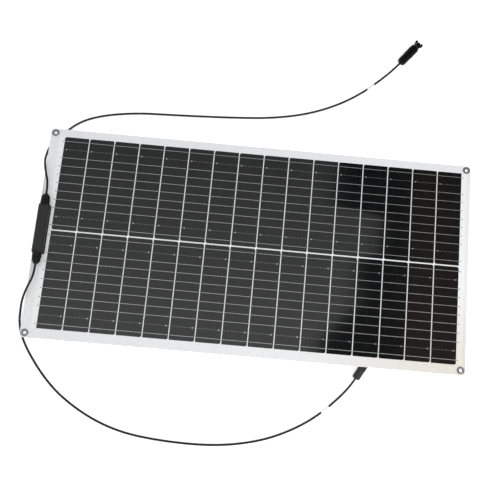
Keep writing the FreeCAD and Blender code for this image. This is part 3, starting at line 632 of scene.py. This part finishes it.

# A zone is a stretch of the laminate around one hinge. It stands for some CAD sections.
Zone = namedtuple("Zone", "name left right columns bodies hinge stands_for")
LEFT = Zone(
    "left", SHEET_LOW.x, SEAMS[0], range(0, 6), ("section_1", "section_2"), HINGES[0], (1,)
)
MIDDLE = Zone(
    "middle", SEAMS[0], SEAMS[1], range(6, 10), ("section_2", "section_3"), HINGES[1], (2,)
)
RIGHT = Zone(
    "right", SEAMS[1], SHEET_HIGH.x, range(10, 16), ("section_3", "section_4"), HINGES[2], (3, 4)
)


def bend(piece):
    """Bakes a piece's place into its mesh."""
    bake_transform(piece)


def stand_for(piece, zone, *kinds):
    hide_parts(*(f"{kind}_{k}" for kind in kinds for k in zone.stands_for))


def zone_outline(zone):
    """A zone's outline, with the sheet's rounded corners, and its eyelet holes."""
    left, right, bottom, top = zone.left, zone.right, SHEET_LOW.y, SHEET_HIGH.y
    r, steps = CORNER_RADIUS, CORNER_STEPS
    if zone == LEFT:
        outline = arc((left + r, top - r), r, 90, 180, steps)
        outline += arc((left + r, bottom + r), r, 180, 270, steps)
        outline += [(right, bottom), (right, top)]
        middle_x = left + EYELET_INSET
    elif zone == RIGHT:
        outline = arc((right - r, bottom + r), r, 270, 360, steps)
        outline += arc((right - r, top - r), r, 0, 90, steps)
        outline += [(left, top), (left, bottom)]
        middle_x = right - EYELET_INSET
    else:
        return [(left, bottom), (right, bottom), (right, top), (left, top)], []
    last = 360 - 360 / HOLE_SIDES
    holes = [
        arc((middle_x, y), HOLE_RADIUS, 0, last, HOLE_SIDES - 1)
        for y in (bottom + EYELET_INSET, top - EYELET_INSET)
    ]
    return outline, holes


def make_plates(zone):
    outline, holes = zone_outline(zone)
    film_low = WHITE_TOP + FILM_GAP
    for name, low, high, material, kinds in (
        ("back_sheet", SHEET_LOW.z, WHITE_TOP, "white", ("back_sheet",)),
        ("front_film", film_low, FILM_TOP, "film", ("encapsulant", "front_film")),
    ):
        mesh = plate(outline, holes, low, high)
        slice_along_x(mesh, BEND_STEP)
        keep_rest(mesh)
        piece = add_piece(f"{name}_{zone.name}", mesh, material, smooth=False)
        bend(piece)
        stand_for(piece, zone, *kinds)


WAFER_CORNER = 0.0035
WAFER_CORNER_STEPS = 5


def wafer_outline(column, row):
    """One quarter-cut wafer: a long edge keeps the rounded corners of the full wafer."""
    left = FIELD_LOW.x + column * COLUMN_PITCH
    right, bottom = left + WAFER_WIDTH, ROW_LOWS[row]
    top, r, steps = bottom + WAFER_HEIGHT, WAFER_CORNER, WAFER_CORNER_STEPS
    if row == 0:
        low_corner = arc((right - r, bottom + r), r, 270, 360, steps)
        high_corner = arc((right - r, top - r), r, 0, 90, steps)
        return [(left, bottom), *low_corner, *high_corner, (left, top)]
    high_corner = arc((left + r, top - r), r, 90, 180, steps)
    low_corner = arc((left + r, bottom + r), r, 180, 270, steps)
    return [(right, top), *high_corner, *low_corner, (right, bottom)]


def make_wafers(zone):
    work = bmesh.new()
    for column in zone.columns:
        for row in (0, 1):
            outline = wafer_outline(column, row)
            rings = [
                [work.verts.new((x, y, z)) for x, y in outline] for z in (WAFER_LOW, WAFER_TOP)
            ]
            bridge(work, *rings)
            work.faces.new(rings[0])
            work.faces.new(rings[1][::-1])
    name = f"wafers_{zone.name}"
    mesh = finish_mesh(work, name)
    slice_along_x(mesh, BEND_STEP)
    keep_rest(mesh)
    piece = add_piece(name, mesh, "wafer", smooth=False)
    bend(piece)
    stand_for(piece, zone, "cells")


RIBBON_WIDTH = 0.0008
RIBBON_THICK = 0.00012
RIBBON_OVERLAP = 0.0010
RIBBON_SPANS = 5
RIBBON_LOW = WHITE_TOP + 0.00003
RIBBON_HIGH = WAFER_TOP + 0.00001
# How far from the cells the busbars' cover and the ribbons' ends on it begin and end.
COVER_SPAN = (0.0004, 0.0108)
COVER_TOP = WHITE_TOP + 0.00012
TICK_SPAN = (0.0017, 0.0043)
TICK_WIDTH = 0.0013
TICK_THICK = 0.00003


def strip(work, stations, y, width, thickness):
    """A flat strip along X through stations of (x, height of its underside)."""
    rings = []
    for x, z in stations:
        ring = [(x, y - width / 2, z), (x, y + width / 2, z)]
        ring += [(x, y + width / 2, z + thickness), (x, y - width / 2, z + thickness)]
        rings.append([work.verts.new(corner) for corner in ring])
    for near, far in zip(rings, rings[1:]):
        bridge(work, near, far)
    work.faces.new(rings[0])
    work.faces.new(rings[-1][::-1])


def line_y(row, line):
    return ROW_LOWS[row] + WAFER_HEIGHT / 2 + line * LINE_PITCH


def add_strips(work, name, material):
    mesh = finish_mesh(work, name)
    keep_rest(mesh)
    return add_piece(name, mesh, material, smooth=False)


def make_ribbons(zone):
    """Soldered ribbons over each wafer's face. Each dives through the gap to the next's back."""
    work = bmesh.new()
    for column in zone.columns:
        left = FIELD_LOW.x + column * COLUMN_PITCH
        right = left + WAFER_WIDTH
        for row in (0, 1):
            start, end, way = (left, right, 1) if row == 0 else (right, left, -1)
            begin = start + way * RIBBON_OVERLAP
            run = end - begin
            stations = [
                (begin + run * k / RIBBON_SPANS, RIBBON_HIGH) for k in range(RIBBON_SPANS + 1)
            ]
            stations.append((end + way * COLUMN_GAP * 0.8, RIBBON_LOW))
            for line in SOLDERED_LINES:
                strip(work, stations, line_y(row, line), RIBBON_WIDTH, RIBBON_THICK)
    piece = add_strips(work, f"ribbons_{zone.name}", "ribbon")
    bend(piece)
    stand_for(piece, zone, "ribbons")


def make_busbar_cover(side, edge, way, body, node):
    """White strip that hides a row end's busbars. The ribbons' ends just show through it."""
    near, far = sorted(edge + way * reach for reach in COVER_SPAN)
    low, high = ROW_LOWS[0], ROW_LOWS[1] + WAFER_HEIGHT
    outline = [(near, low), (far, low), (far, high), (near, high)]
    mesh = plate(outline, [], WHITE_TOP + FILM_GAP * 2, COVER_TOP)
    keep_rest(mesh)
    cover = add_piece(f"busbar_cover_{side}", mesh, "white", smooth=False)
    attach(cover, body)
    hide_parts(node)
    work = bmesh.new()
    stations = [(edge + way * reach, COVER_TOP) for reach in TICK_SPAN]
    for row in (0, 1):
        for line in SOLDERED_LINES:
            strip(work, stations, line_y(row, line), TICK_WIDTH, TICK_THICK)
    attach(add_strips(work, f"ribbon_ends_{side}", "tick"), body)


for zone in (LEFT, MIDDLE, RIGHT):
    make_plates(zone)
    make_wafers(zone)
    make_ribbons(zone)
make_busbar_cover("left", FIELD_LOW.x, -1, "section_1", "end_busbars_left")
make_busbar_cover("right", FIELD_HIGH.x, 1, "section_4", "end_busbar_right")

# ---------------------------------------------------------------- CAD nodes that keep their shape

NODE_MATERIALS = {
    "eyelet": ("eyelets_left", "eyelets_right", "eyelet_washers_left", "eyelet_washers_right"),
    "box": ("box_base", "box_lid"),
    "adhesive": ("box_adhesive",),
    "rubber": ("box_gasket", "gland_seal_a", "gland_seal_b", "plug_seal", "socket_seal"),
    "contact": ("box_terminals", "plug_contact", "socket_contact", "output_ribbons"),
    "diode": ("bypass_diodes",),
    "gland": ("gland_body_a", "gland_body_b"),
    "jacket": ("inner_lead_a", "inner_lead_b", "plug_lead_end", "socket_lead_end"),
    "plug": ("plug_housing", "plug_latch_left", "plug_latch_right"),
    "socket": ("socket_housing",),
}

# The width of each moulding's softened edges.
SOFTENED = {
    "box_base": 0.0005,
    "box_lid": 0.0004,
    "gland_body_a": 0.0004,
    "gland_body_b": 0.0004,
    "plug_housing": 0.0004,
    "socket_housing": 0.0005,
    "plug_latch_left": 0.0003,
    "plug_latch_right": 0.0003,
}


SHARP_ANGLE = math.radians(40)


def dress_cad():
    for material, names in NODE_MATERIALS.items():
        for name in names:
            node = NODES[name]
            node.data.materials.clear()
            node.data.materials.append(MATERIALS[material])
    for name, width in SOFTENED.items():
        bevel = NODES[name].modifiers.new("soft_edge", "BEVEL")
        bevel.width = width
        bevel.segments = 2
        bevel.limit_method = "ANGLE"
        bevel.angle_limit = SHARP_ANGLE
        bevel.harden_normals = False


dress_cad()

# ---------------------------------------------------------------- nuts, grips and sleeves

# Stations of (distance along the axis, radius, whether the grip's flutes are cut there), in mm.
GLAND_NUT = (
    (10.3, 5.8, 0),
    (10.3, 7.5, 0),
    (10.7, 7.8, 1),
    (14.9, 7.8, 1),
    (15.6, 7.2, 0),
    (17.6, 6.1, 0),
    (19.6, 4.8, 0),
    (20.4, 4.1, 0),
    (20.5, 2.4, 0),
    (17.6, 2.4, 0),
    (17.6, 5.8, 0),
)


def cap_nut(outer):
    """A connector's cap nut of some outer radius: its stations, as above."""
    return (
        (0.0, 2.4, 0),
        (0.0, outer - 1.8, 0),
        (1.2, outer - 0.7, 0),
        (2.2, outer - 0.1, 0),
        (3.2, outer, 1),
        (15.9, outer, 1),
        (16.5, outer, 0),
        (17.1, outer, 0),
        (17.35, outer - 0.3, 0),
        (17.35, 5.0, 0),
        (4.0, 5.0, 0),
        (4.0, 2.4, 0),
    )


FLUTE_SIDES = 10
FLUTE_SHARP_ANGLE = math.radians(32)


def turned_frame(origin, heading):
    """The place and turn of a piece whose axis lies level along a heading."""
    along = Vector((heading[0], heading[1], 0)).normalized()
    across = Vector((-along.y, along.x, 0))
    turn = Matrix((along, across, Vector((0, 0, 1)))).transposed().to_4x4()
    return Matrix.Translation(origin) @ turn


def fluted_nut(node, origin, heading, stations, flutes, depth, material, slot):
    """A screw nut with finger flutes cut in its rim, in place of its plain CAD nut."""
    work = bmesh.new()
    angles = circle(flutes * FLUTE_SIDES)
    rings = []
    for run, radius, is_fluted in stations:
        ring = []
        for angle in angles:
            wave = 0.5 + 0.5 * math.cos(angle * flutes)
            r = (radius - depth * is_fluted * wave**3) * MM
            ring.append(work.verts.new((run * MM, r * math.cos(angle), r * math.sin(angle))))
        rings.append(ring)
    loft(work, rings)
    name = f"{node}_fluted"
    mesh = finish_mesh(work, name, turned_frame(origin, heading))
    mesh.set_sharp_from_angle(angle=FLUTE_SHARP_ANGLE)
    piece = add_piece(name, mesh, material)
    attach(piece, node)
    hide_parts(node)
    return piece


def heading_of(route):
    return (route[-1][0] - route[-2][0], route[-1][1] - route[-2][1])


def add_bar(work, low, high, taper):
    """A small ridge between two corners, in local axes, that narrows towards its outer side."""
    (x0, y0, z0), (x1, y1, z1) = low, high
    inner = [(x0, y0, z0), (x1, y0, z0), (x1, y0, z1), (x0, y0, z1)]
    outer = [
        (x0 + taper, y1, z0 + taper),
        (x1 - taper, y1, z0 + taper),
        (x1 - taper, y1, z1 - taper),
        (x0 + taper, y1, z1 - taper),
    ]
    bottom, top = [[work.verts.new(corner) for corner in ring] for ring in (inner, outer)]
    work.faces.new(bottom)
    work.faces.new(top[::-1])
    bridge(work, bottom, top)
    return bottom + top


def add_trim(work, name, route, material, body):
    """A piece made in a connector's own axes, which start at its lead's end."""
    mesh = finish_mesh(work, name, turned_frame(route[-1], heading_of(route)))
    piece = add_piece(name, mesh, material, smooth=False)
    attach(piece, body)
    return piece


GRIP_COUNT = 4
GRIP_START, GRIP_PITCH, GRIP_LENGTH = 0.0550, 0.00095, 0.0005
GRIP_INNER, GRIP_OUTER, GRIP_HALF_HEIGHT = 0.00802, 0.00835, 0.0026
GRIP_TAPER = 0.00012


def latch_grips(side, sign):
    """Finger ridges across a latch arm's outer face."""
    work = bmesh.new()
    for k in range(GRIP_COUNT):
        run = GRIP_START + GRIP_PITCH * k
        low = (run, sign * GRIP_INNER, -GRIP_HALF_HEIGHT)
        high = (run + GRIP_LENGTH, sign * GRIP_OUTER, GRIP_HALF_HEIGHT)
        add_bar(work, low, high, GRIP_TAPER)
    return add_trim(work, f"latch_grips_{side}", LEAD_A_ROUTE, "plug", f"plug_latch_{side}")


RIB_RISE, RIB_WIDTH, RIB_ROOT = 0.0003, 0.0012, 0.0001
PLUG_RIB_ANGLES = range(-50, 240, 20)
SOCKET_RIB_ANGLES = (-24, -8, 8, 24, 156, 172, 188, 204)


def housing_ribs(name, route, material, run, radius, angles):
    """Ribs along a connector's housing, at some angles around its axis."""
    work = bmesh.new()
    low = (run[0], radius - RIB_ROOT, -RIB_WIDTH / 2)
    high = (run[1], radius + RIB_RISE, RIB_WIDTH / 2)
    for angle in angles:
        corners = add_bar(work, low, high, RIB_WIDTH / 5)
        turn = Matrix.Rotation(math.radians(angle), 4, "X")
        bmesh.ops.transform(work, matrix=turn, verts=corners)
    return add_trim(work, name, route, material, ROOT)


# Stations of (distance along the plug's axis, radius), in mm.
NOSE_STATIONS = (
    (47.55, 3.02),
    (47.55, 3.7),
    (48.4, 3.75),
    (49.2, 3.55),
    (50.0, 3.75),
    (50.8, 3.6),
    (51.6, 3.4),
    (56.8, 3.3),
    (57.2, 3.02),
)
NOSE_SIDES = 32


def nose_seal():
    """Rubber ring and bush around the plug's nose, between its latch arms."""
    work = bmesh.new()
    rings = []
    for run, radius in NOSE_STATIONS:
        r = radius * MM
        rings.append(
            [
                work.verts.new((run * MM, r * math.cos(angle), r * math.sin(angle)))
                for angle in circle(NOSE_SIDES)
            ]
        )
    loft(work, rings)
    piece = add_trim(work, "plug_nose_seal", LEAD_A_ROUTE, "plug", ROOT)
    for face in piece.data.polygons:
        face.use_smooth = True
    piece.data.set_sharp_from_angle(angle=SHARP_ANGLE)
    return piece


SLEEVE_LENGTH = 0.017
SLEEVE_RADIUS = LEAD_DIAMETER / 2 + 0.0003
SLEEVE_BORE = LEAD_DIAMETER / 2 + 0.00003
SLEEVE_LIP = 0.00008
SLEEVE_STEPS = 10
SLEEVE_SIDES = 28


def sleeve(letter, curve):
    """A white sleeve that follows its lead's own line."""
    low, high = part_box(f"lead_marker_{letter}")
    middle = (low + high) / 2
    points = line_points(curve)
    runs = [0.0]
    for near, far in zip(points, points[1:]):
        runs.append(runs[-1] + (far - near).length)
    nearest = min(range(len(points)), key=lambda k: (points[k] - middle).length)

    def on_line(run):
        k = max(j for j in range(len(runs) - 1) if runs[j] <= run)
        share = (run - runs[k]) / (runs[k + 1] - runs[k])
        return points[k].lerp(points[k + 1], share), (points[k + 1] - points[k]).normalized()

    before = (points[nearest] - points[nearest - 1]).normalized()
    centre = runs[nearest] + (middle - points[nearest]).dot(before)
    steps = [(0, SLEEVE_BORE), (0, SLEEVE_RADIUS - SLEEVE_LIP)]
    steps += [(k, SLEEVE_RADIUS) for k in range(1, SLEEVE_STEPS)]
    steps += [(SLEEVE_STEPS, SLEEVE_RADIUS - SLEEVE_LIP), (SLEEVE_STEPS, SLEEVE_BORE)]
    work = bmesh.new()
    rings = []
    for k, r in steps:
        share = k / SLEEVE_STEPS
        place, way = on_line(centre - SLEEVE_LENGTH / 2 + SLEEVE_LENGTH * share)
        side = way.cross(Vector((0, 0, 1))).normalized()
        up = side.cross(way)
        rings.append(
            [
                work.verts.new(place + side * (r * math.cos(angle)) + up * (r * math.sin(angle)))
                for angle in circle(SLEEVE_SIDES)
            ]
        )
    loft(work, rings)
    name = f"sleeve_{letter}"
    mesh = finish_mesh(work, name)
    mesh.set_sharp_from_angle(angle=SHARP_ANGLE)
    piece = add_piece(name, mesh, "sleeve")
    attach(piece, ROOT)
    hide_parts(f"lead_marker_{letter}")
    return piece


GLAND_FLUTES, GLAND_FLUTE_DEPTH = 10, 0.7
CAP_FLUTES = 12
GLAND_FACE_Y = 0.046


def gland_nut(letter, sign, route):
    place = (route[0][0], sign * GLAND_FACE_Y, route[0][2])
    look = (GLAND_NUT, GLAND_FLUTES, GLAND_FLUTE_DEPTH, "gland", "gland_plastic")
    return fluted_nut(f"gland_nut_{letter}", place, (0, sign), *look)


def connector_nut(kind, route, radius, depth):
    look = (cap_nut(radius), CAP_FLUTES, depth, kind, "connector_plastic")
    return fluted_nut(f"{kind}_nut", route[-1], heading_of(route), *look)


gland_nut("a", 1, LEAD_A_ROUTE)
gland_nut("b", -1, LEAD_B_ROUTE)
plug_nut = connector_nut("plug", LEAD_A_ROUTE, 8.2, 0.55)
socket_nut = connector_nut("socket", LEAD_B_ROUTE, 7.3, 0.5)
plug_trim = [
    latch_grips("left", 1),
    latch_grips("right", -1),
    nose_seal(),
    housing_ribs("plug_ribs", LEAD_A_ROUTE, "plug", (0.0195, 0.0425), 0.0082, PLUG_RIB_ANGLES),
]
socket_ribs = housing_ribs(
    "socket_ribs", LEAD_B_ROUTE, "socket", (0.0195, 0.034), 0.0073, SOCKET_RIB_ANGLES
)
sleeve_a = sleeve("a", lead_a)
sleeve_b = sleeve("b", lead_b)

# ---------------------------------------------------------------- leads' finish

for curve, letter in ((lead_a, "a"), (lead_b, "b")):
    curve.data.materials.append(MATERIALS["jacket"])
    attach(curve, ROOT)
    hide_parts(f"lead_{letter}")

PLUG_PIECES = ["plug_housing", "plug_latch_left", "plug_latch_right"]
PLUG_PIECES += ["plug_seal", "plug_contact", "plug_lead_end"]

# ---------------------------------------------------------------- floor and light

FLOOR_SIZE = 60.0
FLOOR_GLOW = 0.45
WORLD_COLOUR = (0.96, 0.985, 1.0)
WORLD_STRENGTH = 0.70
# Each light's place, aim, side length, power and colour.
LIGHTS = {
    "key": ((0.85, -0.75, 1.4), (0.1, -0.05, 0), 1.0, 15.5, (1.0, 0.975, 0.94)),
    "fill": ((-1.3, 0.9, 1.8), (0, 0, 0), 1.6, 3.0, (1.0, 1.0, 1.0)),
}


def add_stage(name, low, high, height, is_facing_up, material):
    """A flat rectangle of the stage, which is no part of the object."""
    corners = [(low[0], low[1]), (high[0], low[1]), (high[0], high[1]), (low[0], high[1])]
    face = (0, 1, 2, 3) if is_facing_up else (0, 3, 2, 1)
    mesh = bpy.data.meshes.new(name)
    mesh.from_pydata([(x, y, height) for x, y in corners], [], [face])
    panel = bpy.data.objects.new(name, mesh)
    panel.data.materials.append(material)
    bpy.context.scene.collection.objects.link(panel)
    return panel


def make_floor():
    g = Graph("floor_pale")
    grain = g.noise(g.place(), 40.0, 2.0)
    g.set(Base_Color=g.mix(grain, grey(0.90), grey(0.92)), Roughness=0.8)
    g.set(Specular_IOR_Level=0.1, Emission_Color=grey(1.0), Emission_Strength=FLOOR_GLOW)
    half = FLOOR_SIZE / 2
    add_stage("floor", (-half, -half), (half, half), CAD_BOX[0][2], True, g.material)


def make_world():
    world = bpy.data.worlds.new("studio")
    world.use_nodes = True
    background = world.node_tree.nodes["Background"]
    background.inputs["Color"].default_value = (*WORLD_COLOUR, 1.0)
    background.inputs["Strength"].default_value = WORLD_STRENGTH
    bpy.context.scene.world = world


def make_lights():
    for name, (place, aim, size, power, colour) in LIGHTS.items():
        data = bpy.data.lights.new(name, "AREA")
        data.shape = "SQUARE"
        data.size = size
        data.energy = power
        data.color = colour
        light = bpy.data.objects.new(name, data)
        light.location = place
        towards = Vector(aim) - Vector(place)
        light.rotation_euler = towards.to_track_quat("-Z", "Y").to_euler()
        bpy.context.scene.collection.objects.link(light)


REFLECTOR_HEIGHT = 1.62
REFLECTOR_LOW = (-2.2, -1.4)
REFLECTOR_HIGH = (2.2, 2.2)
# Levels across the lit side's edge, and along X from the dark gap to the dim warm side.
LIT_STOPS = (
    (0.34, grey(1.0)),
    (0.38, (0.76, 0.76, 0.77)),
    (0.405, (0.20, 0.20, 0.205)),
    (0.44, grey(0.03)),
)
DIM_STOPS = (
    (0.50, grey(0.01)),
    (0.565, (0.05, 0.045, 0.04)),
    (0.585, (0.25, 0.16, 0.105)),
    (0.75, (0.19, 0.125, 0.085)),
    (0.98, (0.42, 0.40, 0.38)),
)
# Steps in the lit side's edge: shifts from one to another between two places along Y.
EDGE_STEPS = (
    (0.02, -0.07, 0.42, 0.46),
    (0.0, 0.185, 0.60, 0.63),
    (0.0, 0.12, 0.25, 0.10),
)
EDGE_WOBBLE = 0.02
# The panel's strength falls from one level to another between two places along Y.
PANEL_FALL = (1.18, 0.45, 0.0, 0.85)


def make_reflector():
    """A lit panel over the sheet with a dark gap near one end. Only gloss sees it."""
    g = Graph("reflector_fade")
    place = g.place()
    x, y = g.axis(place, 0), g.axis(place, 1)
    wobble = g.noise(place, 7.0, 2.0, 0.5)
    edge = g.maths("ADD", x, g.between(wobble, -EDGE_WOBBLE, EDGE_WOBBLE))
    for step in EDGE_STEPS:
        edge = g.maths("ADD", edge, g.between(y, *step))
    both = g.node("ShaderNodeVectorMath", operation="ADD")
    g.feed(both.inputs[0], g.ramp(edge, LIT_STOPS))
    g.feed(both.inputs[1], g.ramp(x, DIM_STOPS))
    glow = g.node("ShaderNodeEmission")
    g.feed(glow.inputs["Color"], both.outputs[0])
    g.feed(glow.inputs["Strength"], g.between(y, *PANEL_FALL))
    g.feed(g.tree.nodes["Material Output"].inputs["Surface"], glow.outputs[0])
    g.tree.nodes.remove(g.shader)
    low, high = REFLECTOR_LOW, REFLECTOR_HIGH
    panel = add_stage("reflector", low, high, REFLECTOR_HEIGHT, False, g.material)
    panel.visible_camera = False
    panel.visible_diffuse = False
    panel.visible_shadow = False
    panel.visible_transmission = False


make_floor()
make_world()
make_lights()
make_reflector()
bpy.context.scene.view_settings.view_transform = "Standard"
